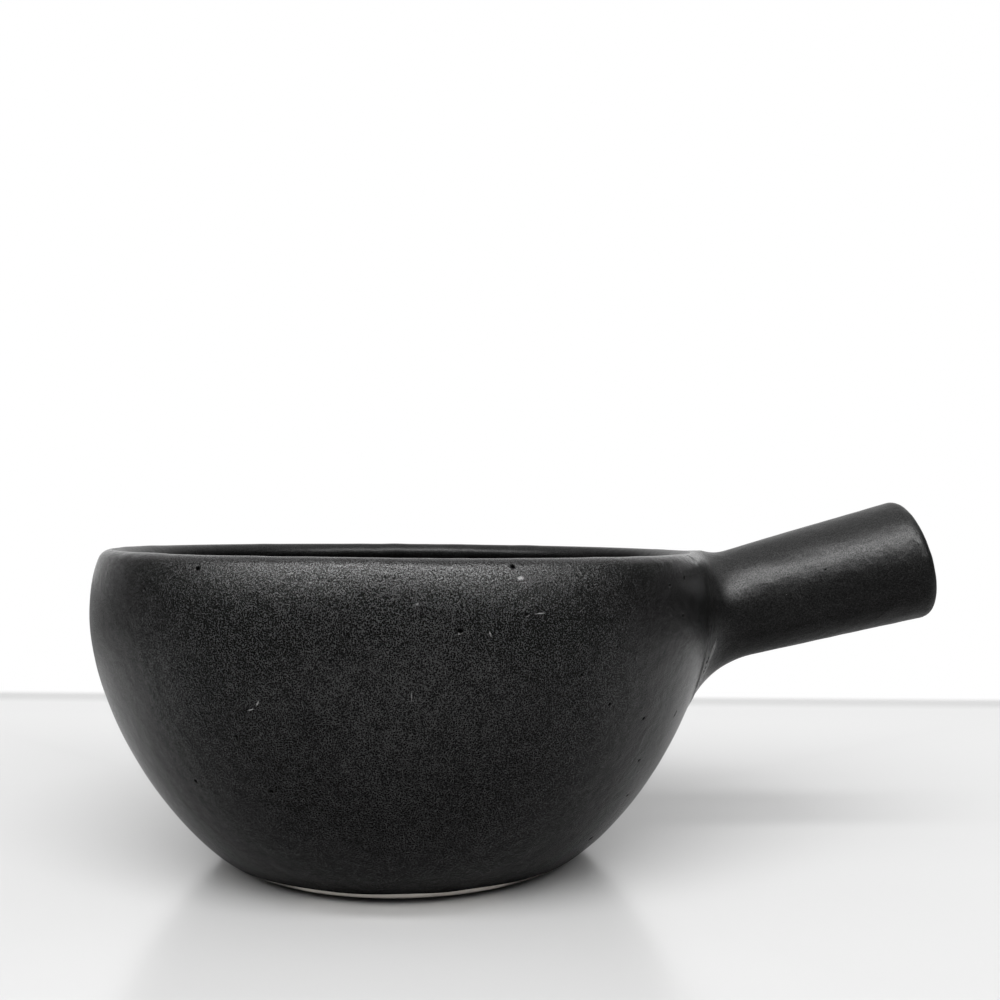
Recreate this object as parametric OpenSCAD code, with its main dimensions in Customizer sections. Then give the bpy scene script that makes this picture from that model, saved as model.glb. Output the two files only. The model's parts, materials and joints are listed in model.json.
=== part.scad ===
// Single-handle donabe: a thrown stoneware cooking bowl with a hollow side handle,
// luted on with a coil of soft clay and coated in matt black glaze over a bare foot.
// Millimetres, +Z up, origin on the table under the bowl's axis, handle along +X.

/* [Bowl] */
// Widest diameter of the bowl, over its glaze
bowl_d = 190; // [170:1:230]
// Height of the rim crest above the table
bowl_h = 94; // [80:1:120]
// Height of the rim crest above the widest point
belly_drop = 18; // [12:0.5:28]
// How far the rim crest lies inside the widest point
rim_inset = 6; // [3:0.5:12]
// Thickness of the rounded lip, over its glaze
lip_t = 7.6; // [6:0.1:10]
// Inward lean of the wall where it meets the lip, in degrees
lip_lean = 21.5; // [8:0.5:35]
// Thickness of the fired clay wall
wall_t = 6; // [4:0.1:8]
// Thickness of the fired clay floor
floor_t = 7; // [5:0.1:10]
// Height over which the floor sweeps up into the wall
floor_sweep = 8; // [5:0.5:14]
// How far the wall's curve follows the heel's direction
heel_run = 24; // [14:0.5:34]
// How far the wall's curve follows the plumb line under the widest point
belly_run = 23.5; // [14:0.5:34]

/* [Foot] */
// Outer diameter of the standing face
foot_d = 92; // [76:1:110]
// Width of the standing face
foot_w = 10; // [6:0.5:16]
// Depth of the hollow turned under the foot
foot_hollow = 2; // [1:0.1:4]
// Radius of the heel between the standing face and the wall
heel_r = 17; // [8:0.5:24]
// Steepness of the wall where it leaves the heel, in degrees
heel_angle = 35.5; // [25:0.5:45]

/* [Glaze] */
// Thickness of the glaze coats
glaze_t = 0.4; // [0.2:0.05:0.8]
// Height above the table at which the outside glaze stops
glaze_line = 3.6; // [2:0.1:8]

/* [Handle] */
// Length of the handle from the widest point of the bowl to its end
handle_l = 68; // [50:1:100]
// Upward tilt of the handle, in degrees
handle_tilt = 14.7; // [5:0.1:25]
// Diameter of the handle at the bowl, over its glaze
handle_root_d = 33.3; // [28:0.1:40]
// Diameter of the handle at its end, over its glaze
handle_end_d = 38; // [32:0.1:46]
// How far the top of the handle meets the bowl below the rim crest
handle_drop = 1.5; // [1:0.1:12]
// Diameter of the hollow in the handle
bore_d = 25; // [16:0.5:26]
// How much the root's wall is pared away inside, where it is scored for luting
root_paring = 0.6; // [0.3:0.1:1]
// How far out from the bowl's wall the straight hollow starts
bore_start_gap = 1; // [0.5:0.1:4]
// Rounding of the outer edge at the handle's end, over its glaze
end_edge_r = 4; // [2:0.1:4.5]
// Rounding of the inner edge at the handle's mouth
mouth_edge_r = 1.5; // [0.5:0.1:2]
// How far round the mouth's edge the glaze runs, in degrees
mouth_glaze = 40; // [10:5:45]

/* [Joint] */
// How far the luting coil spreads down the bowl, below the handle
joint_below = 12; // [6:0.5:18]
// How far the luting coil reaches out along the handle
joint_reach = 9.4; // [6:0.2:16]
// How far the luting coil stops below the rim crest
joint_rim_gap = 0.8; // [0.5:0.1:3]
// Fullness of the coil's hollow curve
joint_full = 0.6; // [0.45:0.05:0.75]
// Clearance round pieces that are set against each other
fit_gap = 0.05; // [0.03:0.01:0.2]

/* [Hidden] */
$fn = 96;

clay_colour = "#c9bca8";
glaze_colour = "#2b2b2b";

// Steps along each curve
heel_steps = 5;
wall_steps = 14;
shoulder_steps = 6;
lip_steps = 6;
edge_steps = 5;
joint_sides = 48;
joint_steps = 8;
seat_steps = 24;

// Key sizes of the clay under the glaze
foot_r = foot_d / 2;
belly_r = bowl_d / 2 - glaze_t;
belly_z = bowl_h - belly_drop;
floor_z = foot_hollow + floor_t;
lip_r = lip_t / 2 - glaze_t;
lip_centre = [bowl_d / 2 - rim_inset, bowl_h - lip_t / 2];
crest_z = lip_centre.y + lip_r;

// Turns of plane vectors and points on curves
function unit(v) = v / norm(v);
function right_of(v) = unit([v.y, -v.x]);
function ease(t) = t * t * (3 - 2 * t);
function on_curve(p, t) =
    pow(1 - t, 3) * p[0] + 3 * pow(1 - t, 2) * t * p[1] + 3 * (1 - t) * t * t * p[2] + pow(t, 3) * p[3];
function along_curve(p, t) =
    pow(1 - t, 2) * (p[1] - p[0]) + 2 * (1 - t) * t * (p[2] - p[1]) + t * t * (p[3] - p[2]);

// Every outline below is a list of [point, direction out of the clay]
function arc_outline(centre, r, from, to, steps) = [
    for (i = [0:steps])
        let (a = from + (to - from) * i / steps, d = [cos(a), sin(a)])
            [centre + r * d, d]
];
function curve_outline(p, first, steps) = [
    for (i = [first:steps]) [on_curve(p, i / steps), right_of(along_curve(p, i / steps))]
];
function raised(outline, by) = [for (e = outline) e[0] + by * e[1]];
function reversed(list) = [for (i = [len(list) - 1:-1:0]) list[i]];
function coat(outline, t) = concat(raised(outline, 0), reversed(raised(outline, t)));

// Outside of the bowl: heel arc, wall curve, shoulder curve, outer half of the lip
heel = arc_outline([foot_r, heel_r], heel_r, -90, -90 + heel_angle, heel_steps);
wall_start = heel[heel_steps][0];
belly = [belly_r, belly_z];
wall_curve = [
    wall_start,
    wall_start + heel_run * [cos(heel_angle), sin(heel_angle)],
    belly - [0, belly_run],
    belly
];
wall = curve_outline(wall_curve, 1, wall_steps);
lip_start = lip_centre + lip_r * [cos(lip_lean), sin(lip_lean)];
shoulder_run = norm(lip_start - belly) / 3;
shoulder_curve = [
    belly,
    belly + [0, shoulder_run],
    lip_start - shoulder_run * [-sin(lip_lean), cos(lip_lean)],
    lip_start
];
shoulder = curve_outline(shoulder_curve, 1, shoulder_steps);
lip_outside = arc_outline(lip_centre, lip_r, lip_lean, 90, lip_steps);
lip_inside = arc_outline(lip_centre, lip_r, 90, 180 + lip_lean, 2 * lip_steps);
outside = concat(heel, wall, shoulder, [for (i = [1:lip_steps]) lip_outside[i]]);

// Inside of the bowl: the wall and shoulder set in by their thickness, and a floor that sweeps up to them
function set_in(e, t) = [e[0] - t * e[1], -e[1]];
inner_wall = [
    for (e = wall)
        let (s = set_in(e, wall_t))
            if (s[0].y > floor_z + floor_sweep) s
];
inner_shoulder = [
    for (i = [0:shoulder_steps - 2])
        set_in(shoulder[i], wall_t + (2 * lip_r - wall_t) * ease((i + 1) / shoulder_steps))
];
sweep_end = inner_wall[0][0];
sweep_rise = [inner_wall[0][1].y, -inner_wall[0][1].x];
sweep_corner = sweep_end - sweep_rise * (sweep_end.y - floor_z) / sweep_rise.y;
sweep_start = [sweep_corner.x - norm(sweep_end - sweep_corner), floor_z];
floor_curve = [
    sweep_start,
    (sweep_start + 2 * sweep_corner) / 3,
    (sweep_end + 2 * sweep_corner) / 3,
    sweep_end
];
floor_sweep_outline = [
    for (i = [0:heel_steps - 1])
        [on_curve(floor_curve, i / heel_steps), -right_of(along_curve(floor_curve, i / heel_steps))]
];
floor_centre = [[0, floor_z], [0, 1]];
inside = concat([floor_centre], floor_sweep_outline, inner_wall, inner_shoulder, reversed(lip_inside));

// Radius of the bowl's outside at any height, raised by a coat
function radius_table(by) = [for (p = raised(outside, by)) [p.y, p.x]];

// Handle axis: it crosses the bowl's widest point so that the handle's top meets the bowl under the rim
handle_root_r = handle_root_d / 2;
handle_taper = (handle_end_d - handle_root_d) / 2 / handle_l;
root_s = bowl_d / 2 / cos(handle_tilt);
root_z = bowl_h - handle_drop - handle_root_r / cos(handle_tilt);
axis_start = [0, 0, root_z - bowl_d / 2 * tan(handle_tilt)];
forward = [cos(handle_tilt), 0, sin(handle_tilt)];
upward = [-sin(handle_tilt), 0, cos(handle_tilt)];
sideways = [0, 1, 0];
function handle_r(s) = handle_root_r + (s - root_s) * handle_taper;

// Handle outline in radius and distance along its axis, from the clay's surface
buried = handle_root_d / 2;
joint_end_s = root_s + joint_reach;
end_s = root_s + handle_l - glaze_t;
edge_r = end_edge_r - glaze_t;
flare = atan(handle_taper);
edge_s = end_s - edge_r;
edge_centre = [handle_r(edge_s - edge_r * sin(flare)) - glaze_t - edge_r * cos(flare), edge_s];
mouth_centre = [bore_d / 2 + mouth_edge_r, end_s - mouth_edge_r];
outer_edge = arc_outline(edge_centre, edge_r, -flare, 90, edge_steps);
handle_side = [cos(flare), -sin(flare)];

// Points about the handle axis: distance s along it, distance q from it, angle a round it
function about_axis(s, q, a) = axis_start + s * forward + q * (cos(a) * sideways + sin(a) * upward);
function clear_of_bowl(p, table) = norm([p.x, p.y]) - lookup(p.z, table);

// Distance along the axis at which a line, q + taper * s from the axis, reaches the bowl
function seat_s(q, taper, a, table, low, high, n = 0) =
    n == seat_steps ? (low + high) / 2 :
    let (mid = (low + high) / 2)
        clear_of_bowl(about_axis(mid, q + taper * mid, a), table) > 0
            ? seat_s(q, taper, a, table, low, mid, n + 1)
            : seat_s(q, taper, a, table, mid, high, n + 1);
function seat(q, taper, a, table) =
    let (s = seat_s(q, taper, a, table, root_s / 2, root_s + bowl_h))
        about_axis(s, q + taper * s, a);

// The straight hollow starts clear of the bowl all the way round
bore_probe = 15;
pared_r = bore_d / 2 + root_paring;
bore_start_s = bore_start_gap + max([
    for (a = [0:bore_probe:360]) seat_s(pared_r, 0, a, radius_table(0), root_s / 2, root_s + bowl_h)
]);

// The coil's edge on the bowl is a circle round a line below the handle axis, kept under the rim
joint_top_z = crest_z - joint_rim_gap;
joint_top_x = lookup(joint_top_z, radius_table(0));
joint_bottom_q = handle_root_r + joint_below;
joint_top_q = min(joint_bottom_q, ([joint_top_x, 0, joint_top_z] - axis_start) * upward);
joint_r = (joint_bottom_q + joint_top_q) / 2;
joint_sink = (joint_bottom_q - joint_top_q) / 2;
function joint_edge_q(a) = sqrt(pow(joint_r, 2) - pow(joint_sink * cos(a), 2)) - joint_sink * sin(a);

// Handle radius that the joint's flat sides clear, carried back to the start of the axis
function joint_side_q(by) = (handle_r(0) - glaze_t + by) / cos(180 / joint_sides);

// One hollow curve of the joint, from the bowl to the handle, raised by a coat
tangent_step = 0.5;
function joint_curve(a, by) =
    let (table = radius_table(by),
        side_q = joint_side_q(by),
        q = joint_edge_q(a),
        corner = seat(side_q, handle_taper, a, table),
        start = seat(q, 0, a, table),
        end = about_axis(joint_end_s, side_q + handle_taper * joint_end_s, a),
        leave = joint_full * norm(corner - start) * unit(seat(q - tangent_step, 0, a, table) - start),
        p = [start, start + leave, end + joint_full * (corner - end), end])
    [for (i = [0:joint_steps]) on_curve(p, i / joint_steps)];

// The coil's back against the bowl, from the handle's side to the coil's edge
back_steps = 3;
function joint_back(a, by) =
    let (table = radius_table(by),
        side_q = joint_side_q(by),
        corner_s = seat_s(side_q, handle_taper, a, table, root_s / 2, root_s + bowl_h),
        corner_q = side_q + handle_taper * corner_s,
        q = joint_edge_q(a))
    [for (i = [0:back_steps - 1]) seat(corner_q + (q - corner_q) * i / back_steps, 0, a, table)];

// A closed ring with the same number of points in every section
module ring_of(sections) {
    n = len(sections);
    m = len(sections[0]);
    polyhedron(
        [for (section = sections) each section],
        [
            for (i = [0:n - 1])
                for (j = [0:m - 1])
                    let (a = i * m + j, b = i * m + (j + 1) % m,
                        c = ((i + 1) % n) * m + (j + 1) % m, d = ((i + 1) % n) * m + j)
                        each [[a, b, c], [a, c, d]]
        ]
    );
}

module on_handle_axis() {
    translate(axis_start) rotate([0, 90 - handle_tilt, 0]) children();
}

// The bowl's outside filled to its axis, which shapes the root of the handle
module filled_bowl() {
    rotate_extrude() polygon(concat([[0, 0]], raised(outside, 0), [[0, crest_z]]));
}

module bowl_body() {
    under_foot = [[0, foot_hollow], [foot_r - foot_w - foot_hollow, foot_hollow], [foot_r - foot_w, 0]];
    color(clay_colour)
        rotate_extrude()
            polygon(concat(under_foot, raised(outside, 0), reversed([
                for (i = [0:len(inside) - 2]) inside[i][0]
            ])));
}

module handle_tube() {
    mouth_edge = raised(arc_outline(mouth_centre, mouth_edge_r, 90, 180, edge_steps), 0);
    start_s = root_s - buried;
    color(clay_colour)
        difference() {
            on_handle_axis()
                rotate_extrude()
                    polygon(concat(
                        [[pared_r, start_s], [handle_r(start_s) - glaze_t, start_s]],
                        raised(outer_edge, 0), mouth_edge,
                        [[bore_d / 2, bore_start_s], [pared_r, bore_start_s]]
                    ));
            filled_bowl();
        }
}

module joint_coil() {
    color(clay_colour)
        ring_of([
            for (i = [0:joint_sides - 1])
                let (a = 360 * i / joint_sides)
                    concat(joint_back(a, fit_gap), joint_curve(a, fit_gap))
        ]);
}

module outer_glaze() {
    line_start = [lookup(glaze_line, radius_table(0)), glaze_line];
    above_line = [for (e = outside) if (e[0].y > glaze_line + glaze_t) e];
    line_edge = [line_start, right_of(above_line[0][0] - line_start)];
    color(glaze_colour)
        difference() {
            rotate_extrude() polygon(coat(concat([line_edge], above_line), glaze_t));
            on_handle_axis()
                translate([joint_sink, 0, root_s / 2])
                    cylinder(r = joint_r + fit_gap, h = root_s);
        }
}

module inner_glaze() {
    color(glaze_colour) rotate_extrude() polygon(coat(inside, glaze_t));
}

module handle_glaze() {
    start_s = joint_end_s + fit_gap;
    side_start = [[handle_r(start_s) - glaze_t, start_s], handle_side];
    mouth_edge = arc_outline(mouth_centre, mouth_edge_r, 90, 90 + mouth_glaze, edge_steps);
    color(glaze_colour)
        on_handle_axis()
            rotate_extrude() polygon(coat(concat([side_start], outer_edge, mouth_edge), glaze_t));
}

module joint_glaze() {
    color(glaze_colour)
        ring_of([
            for (i = [0:joint_sides - 1])
                let (a = 360 * i / joint_sides)
                    concat(joint_curve(a, fit_gap), reversed(joint_curve(a, glaze_t)))
        ]);
}

bowl_body();
handle_tube();
joint_coil();
outer_glaze();
inner_glaze();
handle_glaze();
joint_glaze();
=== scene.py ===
import json
import math

import bpy
import numpy as np
from mathutils import Matrix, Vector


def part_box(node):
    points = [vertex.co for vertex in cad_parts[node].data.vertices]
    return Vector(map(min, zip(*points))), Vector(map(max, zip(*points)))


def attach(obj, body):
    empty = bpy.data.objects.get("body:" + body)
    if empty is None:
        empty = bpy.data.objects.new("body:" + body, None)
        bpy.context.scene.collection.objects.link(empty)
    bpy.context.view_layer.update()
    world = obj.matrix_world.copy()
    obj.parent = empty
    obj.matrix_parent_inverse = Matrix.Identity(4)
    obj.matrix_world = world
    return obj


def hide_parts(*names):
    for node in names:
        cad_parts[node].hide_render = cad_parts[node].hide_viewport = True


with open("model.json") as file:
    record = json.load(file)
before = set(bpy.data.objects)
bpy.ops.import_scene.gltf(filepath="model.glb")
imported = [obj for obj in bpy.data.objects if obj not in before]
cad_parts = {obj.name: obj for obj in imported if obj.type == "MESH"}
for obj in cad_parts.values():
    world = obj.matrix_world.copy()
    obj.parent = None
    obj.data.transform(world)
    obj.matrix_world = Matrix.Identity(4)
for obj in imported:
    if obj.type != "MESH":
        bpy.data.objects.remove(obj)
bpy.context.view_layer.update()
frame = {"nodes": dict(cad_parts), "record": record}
scene = bpy.context.scene

# A single-handle donabe: a thrown stoneware bowl with a hollow side handle, in matt black glaze over a bare
# foot. Its sizes are in millimetres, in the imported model's frame. The table, the lights and the camera are
# placed in metres.
MM = 0.001

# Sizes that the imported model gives
outer_low, outer_high = (np.array(corner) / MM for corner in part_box("outer_glaze"))
bore = next(mount for mount in frame["record"]["mounts"] if mount["name"] == "handle_bore")
bowl_r = -outer_low[0]
bowl_h = outer_high[2]
bore_r = bore["dims"]["r_mm"]
forward = np.array(bore["axis"]) / np.linalg.norm(bore["axis"])
upward = np.array([-forward[2], 0, forward[0]])
sideways = np.array([0, 1, 0])
bore_mid = np.array(bore["pos_m"]) / MM
bore_mid_s = bore_mid[0] / forward[0]
axis_start = bore_mid - bore_mid_s * forward

# Sizes of the bowl's outline, as thrown and turned
glaze_t = 0.4
belly_drop = 18
rim_inset = 6
lip_t = 7.6
lip_lean = 21.5
wall_t = 6
floor_t = 7
floor_sweep = 8
heel_run = 24
belly_run = 23.5
foot_r = 46
foot_w = 10
foot_hollow = 2
heel_r = 17
heel_angle = 35.5
glaze_line = 3.6

# Sizes of the handle and of the coil that joins it to the bowl
handle_l = 68
handle_root_r = 33.3 / 2
handle_end_r = 38 / 2
end_edge_r = 4
mouth_edge_r = 1.5
mouth_glaze = 40
joint_below = 12
joint_side = 25
joint_reach = 9.4
joint_rim_gap = 0.8
joint_full = 0.6
blend_below, blend_side, blend_top = 16, 14, 9
blend_reach = 45
crest_kept, crest_free = -1, 4
rim_kept, rim_free = 6, 12

# Warp of the rim
warp_lift = 0.55
warp_from = 40
warp_bearing = math.radians(150)
warp_free = 0.07

# Fineness of the meshes
bowl_columns = 400
clay_columns = 240
window_columns = 25
row_step = 2
row_turn = math.radians(7)
patch_rows = 14
joint_rows = 22
curve_points = 60
edge_points = 7
probe_points = 1441
same_point = 1e-6

# Gap left between a glaze coat's back and the clay, so that the two never cross
coat_gap = 0.02

belly_r = bowl_r - glaze_t
belly_z = bowl_h - belly_drop
lip_r = lip_t / 2 - glaze_t
lip_centre = np.array([bowl_r - rim_inset, bowl_h - lip_t / 2])
floor_z = foot_hollow + floor_t


def unit(v):
    """Vectors of length 1."""
    return v / np.linalg.norm(v, axis=-1, keepdims=True)


def smooth(x):
    """0 below 0, 1 above 1 and a soft step between."""
    x = np.clip(x, 0, 1)
    return x**2 * (3 - 2 * x)


def bell(x, width):
    """1 at 0, falling smoothly to nothing over a few widths."""
    return np.exp(-((x / width) ** 2))


# Outlines in radius and height. Each row is a point and the direction out of the clay there.


def arc(centre, r, start, end):
    """Points on a circle from one angle to another, in degrees, facing away from its centre."""
    a = np.radians(np.linspace(start, end, curve_points))
    away = np.stack([np.cos(a), np.sin(a)], 1)
    return np.hstack([np.array(centre) + r * away, away])


def curve(*corners):
    """A cubic curve from its first corner to its last, pulled to those between, facing to its right."""
    t = np.linspace(0, 1, curve_points)[:, None]
    a, b, c, d = (np.array(corner, float) for corner in corners)
    points = (1 - t) ** 3 * a + 3 * (1 - t) ** 2 * t * b + 3 * (1 - t) * t**2 * c + t**3 * d
    run = (1 - t) ** 2 * (b - a) + 2 * (1 - t) * t * (c - b) + t**2 * (d - c)
    return np.hstack([points, unit(np.stack([run[:, 1], -run[:, 0]], 1))])


def straight(start, end):
    """A straight line as a curve with its inner corners at its thirds."""
    a, b = np.array(start, float), np.array(end, float)
    return curve(a, a + (b - a) / 3, b - (b - a) / 3, b)


def set_in(outline, depth):
    """The same outline a wall's thickness deeper, travelled the other way and facing the other way."""
    depth = np.broadcast_to(depth, len(outline))[:, None]
    return np.hstack([outline[:, :2] - depth * outline[:, 2:], -outline[:, 2:]])[::-1]


def joined(*outlines):
    """Outlines end to end, with the length along them in a first column and each shared point once."""
    rows = np.vstack(outlines)
    steps = np.linalg.norm(np.diff(rows[:, :2], axis=0), axis=1)
    rows = rows[np.concatenate([[True], steps > same_point])]
    steps = np.linalg.norm(np.diff(rows[:, :2], axis=0), axis=1)
    return np.column_stack([np.concatenate([[0], np.cumsum(steps)]), rows])


def point_on(outline, length, raised):
    """Radius and height at a length along an outline, raised out of the clay."""
    r, z, out_r, out_z = (np.interp(length, outline[:, 0], column) for column in outline[:, 1:].T)
    return r + raised * out_r, z + raised * out_z


def graded(outline, start, end):
    """Lengths along an outline from start to end.

    There is one more for each row_step of its run and for each row_turn of its bend.
    """
    facing = np.unwrap(np.arctan2(outline[:, 4], outline[:, 3]))
    bend = np.concatenate([[0], np.cumsum(np.abs(np.diff(facing)))])
    count = outline[:, 0] / row_step + bend / row_turn
    first, last = np.interp((start, end), outline[:, 0], count)
    return np.interp(np.linspace(first, last, math.ceil(last - first) + 1), count, outline[:, 0])


heel = arc((foot_r, heel_r), heel_r, -90, -90 + heel_angle)
wall_start = heel[-1, :2]
heel_direction = np.array([math.cos(math.radians(heel_angle)), math.sin(math.radians(heel_angle))])
belly = np.array([belly_r, belly_z])
wall = curve(wall_start, wall_start + heel_run * heel_direction, belly - (0, belly_run), belly)
lean = np.array([math.cos(math.radians(lip_lean)), math.sin(math.radians(lip_lean))])
lip_start = lip_centre + lip_r * lean
shoulder_run = np.linalg.norm(lip_start - belly) / 3
lean_direction = np.array([-lean[1], lean[0]])
shoulder = curve(belly, belly + (0, shoulder_run), lip_start - shoulder_run * lean_direction, lip_start)
lip_outside = arc(lip_centre, lip_r, lip_lean, 90)
lip_inside = arc(lip_centre, lip_r, 90, 180 + lip_lean)

# The inside follows the outside a wall's thickness in, and the floor sweeps up to meet it
shoulder_t = wall_t + (2 * lip_r - wall_t) * smooth(np.linspace(0, 1, curve_points))
inner_wall = set_in(wall, wall_t)
inner_wall = inner_wall[inner_wall[:, 1] > floor_z + floor_sweep]
sweep_top, sweep_face = inner_wall[-1, :2], inner_wall[-1, 2:]
sweep_run = np.array([-sweep_face[1], sweep_face[0]])
sweep_corner = sweep_top + sweep_run * (floor_z - sweep_top[1]) / sweep_run[1]
sweep_foot = np.array([sweep_corner[0] - np.linalg.norm(sweep_top - sweep_corner), floor_z])
sweep = curve(sweep_top, (sweep_top + 2 * sweep_corner) / 3, (sweep_foot + 2 * sweep_corner) / 3, sweep_foot)
inner_outlines = (
    lip_inside,
    set_in(shoulder, shoulder_t),
    inner_wall,
    sweep,
    straight(sweep_foot, (0, floor_z)),
)

# Under the foot, a turned hollow eases down to the ring that the bowl stands on
ease_in, ease_out = 3, 1
ring_r = foot_r - foot_w
ease_start, ease_end = (ring_r - ease_in, foot_hollow), (ring_r + ease_out, 0)
ease_r = (ease_start[0] + ease_end[0]) / 2
foot_outlines = (
    straight((0, foot_hollow), ease_start),
    curve(ease_start, (ease_r, foot_hollow), (ease_r, 0), ease_end),
    straight(ease_end, (foot_r, 0)),
)
outside = joined(heel, wall, shoulder, lip_outside)
rim_and_outside = joined(heel, wall, shoulder, lip_outside, lip_inside)
inside = joined(*inner_outlines)
clay_outline = joined(*foot_outlines, heel, wall, shoulder, lip_outside, *inner_outlines)

# Places about the handle's axis: distance s along it, distance q from it, and angle a round it, from the far
# side up
end_s = bore_mid_s + bore["dims"]["length_mm"] / 2 + mouth_edge_r
root_s = end_s + glaze_t - handle_l
joint_end_s = root_s + joint_reach
taper = (handle_end_r - handle_root_r) / handle_l


def handle_r(s):
    """The glazed handle's radius at s: its root's, plus the taper times the way from there."""
    return handle_root_r + (s - root_s) * taper


def about_axis(s, q, a):
    """Along the axis by s, then out from it by q at angle a."""
    s, q, a = np.broadcast_arrays(s, q, a)
    around = np.cos(a)[..., None] * sideways + np.sin(a)[..., None] * upward
    return axis_start + s[..., None] * forward + q[..., None] * around


def from_axis(points):
    """The s, q and a of points."""
    rel = points - axis_start
    up, side = rel @ upward, rel @ sideways
    return rel @ forward, np.hypot(up, side), np.arctan2(up, side)


def seat(q, steepness, a, raised, halvings=40):
    """Where lines along the handle, q + steepness * s from its axis, meet the bowl.

    The stretch that holds the meeting point is halved again and again.
    """
    wall_r, wall_z = point_on(outside, outside[:, 0], raised)
    low, high = np.full(a.shape, root_s / 2), np.full(a.shape, root_s + bowl_h)
    for _ in range(halvings):
        mid = (low + high) / 2
        x, y, z = np.moveaxis(about_axis(mid, q + steepness * mid, a), -1, 0)
        clear = np.hypot(x, y) > np.interp(z, wall_z, wall_r)
        low, high = np.where(clear, low, mid), np.where(clear, mid, high)
    return about_axis(high, q + steepness * high, a)


# The joint's edge on the bowl is an ellipse round a line below the handle's axis, kept under the rim
joint_top_z = lip_centre[1] + lip_r - joint_rim_gap
joint_top = np.array([np.interp(joint_top_z, outside[:, 2], outside[:, 1]), 0, joint_top_z])
joint_low_q = handle_root_r + joint_below
joint_top_q = (joint_top - axis_start) @ upward
joint_tall = (joint_low_q + joint_top_q) / 2
joint_sink = (joint_low_q - joint_top_q) / 2


def joint_edge_q(a):
    """Distance from the axis to the ellipse at angle a: the larger root of its equation along that line."""
    square = (np.cos(a) / joint_side) ** 2 + (np.sin(a) / joint_tall) ** 2
    half = joint_sink * np.sin(a) / joint_tall**2
    rest = (joint_sink / joint_tall) ** 2 - 1
    return (np.sqrt(half**2 - square * rest) - half) / square


def turned(outline, angle, length, raised):
    """A turned surface: the outline's point at each length, raised, and carried round the bowl's axis."""
    r, z = point_on(outline, length, raised)
    return np.stack([r * np.cos(angle), r * np.sin(angle), np.broadcast_to(z, r.shape)], -1)


def waves(points, wavelength, seed, count=14, spread=(0.7, 1.5)):
    """A smooth unevenness from about -1 to 1: plane waves near one length, in random directions, summed."""
    rng = np.random.default_rng(seed)
    directions = unit(rng.normal(size=(count, 3)))
    rates = 2 * math.pi / (wavelength * rng.uniform(*spread, count))
    phases = rng.uniform(0, 2 * math.pi, count)
    return np.sin(points @ (directions * rates[:, None]).T + phases).sum(-1) * math.sqrt(2 / count) / 2


def warped(points):
    """Points lifted as the rim warped in the kiln.

    The lift grows with the square of height, is most at one bearing and is nothing at the handle.
    """
    x, y, z = points[..., 0], points[..., 1], points[..., 2]
    rise = np.clip((z - warp_from) / (bowl_h - warp_from), 0, 1) ** 2
    share = np.clip(0.5 + 0.5 * np.cos(np.arctan2(y, x) - warp_bearing) - warp_free, 0, 1)
    return points + np.stack([0 * z, 0 * z, warp_lift * rise * share], -1)


def from_bowl(points, rounds=4, step=0.7):
    """Distance of points from the bowl's glaze, outside it, and the direction out of it there.

    The nearest place is the nearest of the outline's own points, moved along it round by round until the way
    from there is square to it.
    """
    r, z = np.hypot(points[:, 0], points[:, 1]), points[:, 2]
    lengths = rim_and_outside[:, 0]
    outline_r, outline_z = point_on(rim_and_outside, lengths, glaze_t)
    length = lengths[((r[:, None] - outline_r) ** 2 + (z[:, None] - outline_z) ** 2).argmin(1)]
    for _ in range(rounds):
        out_r, out_z = (np.interp(length, lengths, column) for column in rim_and_outside[:, 3:].T)
        near_r, near_z = point_on(rim_and_outside, length, glaze_t)
        length = length - step * ((r - near_r) * out_z - (z - near_z) * out_r)
    distance = (r - near_r) * out_r + (z - near_z) * out_z
    return distance, np.stack([out_r * points[:, 0] / r, out_r * points[:, 1] / r, out_z], 1)


def union_gap(points):
    """Distance of points from the smooth union of the bowl and the handle, and the direction out of it there.

    It is the smaller of the two distances, less a share of the blend's length: a quarter where they are
    equal, falling by a square law to nothing where they differ by that length.
    """
    to_bowl, off_bowl = from_bowl(points)
    s, q, a = from_axis(points)
    to_handle = q - handle_r(s)
    off_handle = np.cos(a)[:, None] * sideways + np.sin(a)[:, None] * upward
    low, high = smooth(-np.sin(a)), smooth(np.sin(a))
    length = blend_side + (blend_below - blend_side) * low + (blend_top - blend_side) * high
    tilt = np.clip((to_handle - to_bowl) / length, -1, 1)
    gap = np.minimum(to_bowl, to_handle) - length / 4 * (1 - np.abs(tilt)) ** 2
    out = unit((1 + tilt)[:, None] * off_bowl + (1 - tilt)[:, None] * off_handle)
    return np.where(np.abs(tilt) < 1, gap, 0), out


def blended(points, steps=8):
    """Points moved step by step onto that union, as soft clay is thumbed into the corner."""
    for _ in range(steps):
        gap, out = union_gap(points)
        points = points - gap[:, None] * out
    return points


# Faces from tables of vertex numbers
def quads(ids, closed=False):
    """Faces of a grid of vertices, closed round its first direction, and round its second too if asked."""
    first = np.concatenate([ids, ids[:1]])
    if closed:
        first = np.concatenate([first, first[:, :1]], 1)
    return np.stack([first[:-1, :-1], first[1:, :-1], first[1:, 1:], first[:-1, 1:]], -1)


def fan(ring, pole):
    """Triangles from a ring of vertices to its middle one, as faces whose last two corners are the same."""
    middle = np.full(len(ring), pole)
    return np.stack([ring, np.roll(ring, -1), middle, middle], 1)


def vertex_normals(points, faces, least=1e-12):
    """Unit sum of the faces' own normals round each vertex, larger faces counting for more."""
    a, b, c, d = (points[faces[:, i]] for i in range(4))
    face_normals = np.cross(c - a, d - b)
    total = np.zeros_like(points)
    for i in range(4):
        np.add.at(total, faces[:, i], face_normals)
    return total / np.maximum(np.linalg.norm(total, axis=1, keepdims=True), least)


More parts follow.
